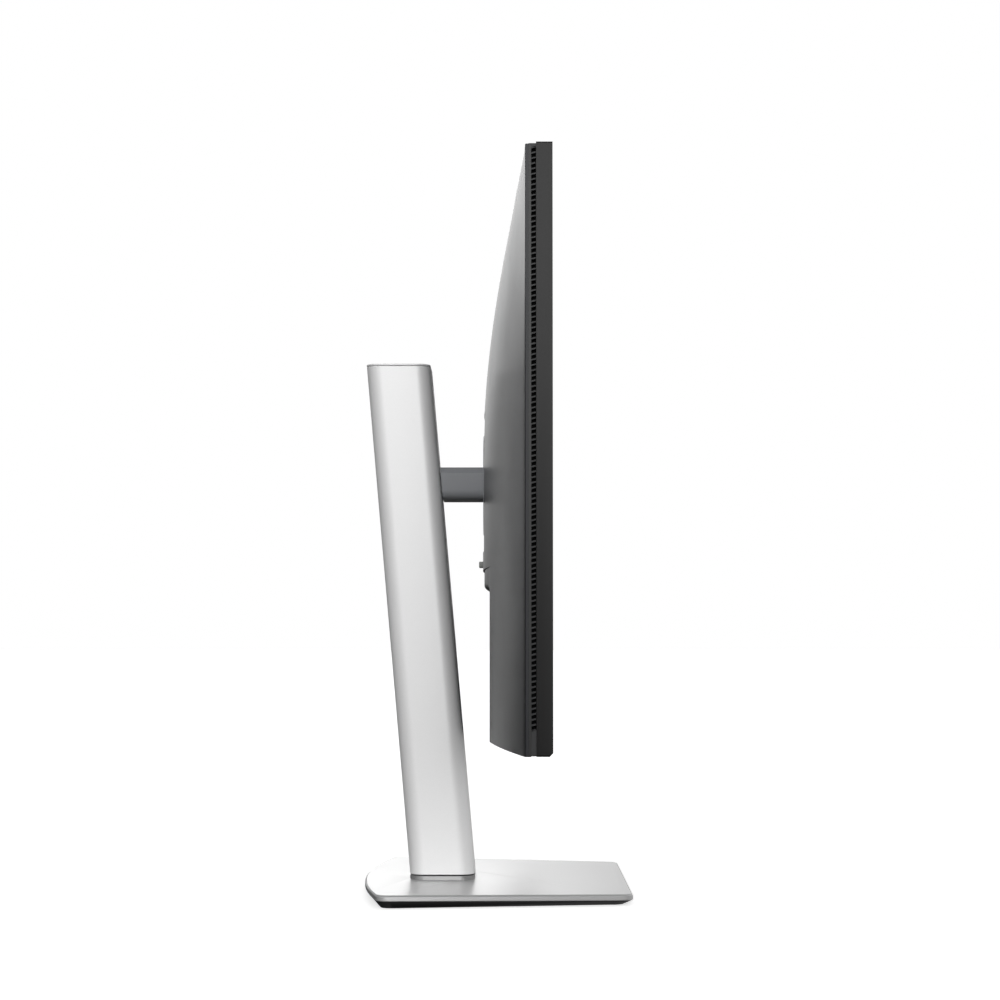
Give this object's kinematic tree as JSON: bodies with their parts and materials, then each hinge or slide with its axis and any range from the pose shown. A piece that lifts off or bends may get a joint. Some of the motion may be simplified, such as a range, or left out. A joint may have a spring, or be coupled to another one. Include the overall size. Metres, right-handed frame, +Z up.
{
  "type": "computer monitor",
  "caption": "Flat wide-screen desktop monitor with side vents and a crowned back, on a leaning silver column with height, tilt, swivel and pivot.",
  "frame": {"origin": "on the desk, under the middle of the object's outline", "axes": "+Z up, X across the screen, the screen faces -Y"},
  "size_m": [0.6112, 0.1824, 0.4665],
  "materials": {
    "silver_base": "satin",
    "silver_column": "satin anodised",
    "column_cap": "satin",
    "arm_plastic": "satin, fine texture",
    "cover_plastic": "matt, fine texture",
    "front_plastic": "matt, fine texture",
    "black_plastic": "matt",
    "button_plastic": "satin",
    "screen_glass": "anti-glare",
    "diffuser": "matt",
    "panel_metal": "plain sheet",
    "circuit_board": "lacquered",
    "socket_metal": "nickel plated",
    "steel": "plain",
    "lamp_lens": "frosted",
    "rubber": "matt"
  },
  "bodies": {
    "base": {"base_plate": "silver_base", "base_tray": "black_plastic", "swivel_bush": "black_plastic", "rubber_foot_1": "rubber", "rubber_foot_2": "rubber", "rubber_foot_3": "rubber", "rubber_foot_4": "rubber", "rubber_foot_5": "rubber", "rubber_foot_6": "rubber"},
    "column": {"column_shell": "silver_column", "column_cap": "column_cap", "cable_liner": "black_plastic", "guide_rail_left": "steel", "guide_rail_right": "steel", "foot_flange": "steel", "swivel_washer": "black_plastic", "swivel_shaft": "steel", "swivel_nut": "steel"},
    "carriage": {"carriage_block": "black_plastic", "lift_spring_roll": "steel", "arm_bracket": "steel", "arm_cover": "arm_plastic", "tilt_washer_left": "steel", "tilt_washer_right": "steel"},
    "tilt_head": {"pivot_disc": "arm_plastic", "pivot_retainer": "steel", "tilt_ear_left": "steel", "tilt_ear_right": "steel", "tilt_shaft": "steel"},
    "display": {"front_frame": "front_plastic", "lcd_panel": "screen_glass", "backlight_unit": "diffuser", "chassis_plate": "panel_metal", "status_lamp": "lamp_lens", "vent_band": "black_plastic", "rear_cover": "cover_plastic", "vesa_bracket": "panel_metal", "quick_release_plate": "cover_plastic", "port_bay": "cover_plastic", "io_bracket": "socket_metal", "power_inlet": "black_plastic", "hdmi_socket": "socket_metal", "displayport_socket_1": "socket_metal", "displayport_socket_2": "socket_metal", "usb_upstream_socket": "socket_metal", "usb_socket_1": "socket_metal", "usb_socket_2": "socket_metal", "main_board": "circuit_board", "power_board": "circuit_board"},
    "menu_button_1": {"menu_button_1": "button_plastic"},
    "menu_button_2": {"menu_button_2": "button_plastic"},
    "menu_button_3": {"menu_button_3": "button_plastic"},
    "menu_button_4": {"menu_button_4": "button_plastic"},
    "power_button": {"power_button": "button_plastic"},
    "release_button": {"release_button": "button_plastic"}
  },
  "joints": [
    {"name": "column_swivel", "type": "hinge", "parent": "base", "child": "column", "pos_m": [0, 0.037, 0.0125], "axis": [0, 0, 1], "range_deg": [-45, 45]},
    {"name": "column_height", "type": "slide", "parent": "column", "child": "carriage", "axis": [0, 0.0882, 0.9961], "range_m": [-0.07, 0.06]},
    {"name": "display_tilt", "type": "hinge", "parent": "carriage", "child": "tilt_head", "pos_m": [0, 0, 0.284], "axis": [-1, 0, 0], "range_deg": [-5, 21]},
    {"name": "display_pivot", "type": "hinge", "parent": "tilt_head", "child": "display", "pos_m": [0, 0, 0.284], "axis": [0, 1, 0], "range_deg": [-7, 23]},
    {"name": "menu_button_1_press", "type": "slide", "parent": "display", "child": "menu_button_1", "axis": [0, 0, 1], "range_m": [0, 0.0008], "stiffness_N_per_m": 600, "springref_m": -0.0003},
    {"name": "menu_button_2_press", "type": "slide", "parent": "display", "child": "menu_button_2", "axis": [0, 0, 1], "range_m": [0, 0.0008], "stiffness_N_per_m": 600, "springref_m": -0.0003},
    {"name": "menu_button_3_press", "type": "slide", "parent": "display", "child": "menu_button_3", "axis": [0, 0, 1], "range_m": [0, 0.0008], "stiffness_N_per_m": 600, "springref_m": -0.0003},
    {"name": "menu_button_4_press", "type": "slide", "parent": "display", "child": "menu_button_4", "axis": [0, 0, 1], "range_m": [0, 0.0008], "stiffness_N_per_m": 600, "springref_m": -0.0003},
    {"name": "power_button_press", "type": "slide", "parent": "display", "child": "power_button", "axis": [0, 0, 1], "range_m": [0, 0.0008], "stiffness_N_per_m": 600, "springref_m": -0.0003},
    {"name": "release_button_press", "type": "slide", "parent": "display", "child": "release_button", "axis": [0, 0, 1], "range_m": [0, 0.003], "stiffness_N_per_m": 300, "springref_m": -0.001}
  ]
}
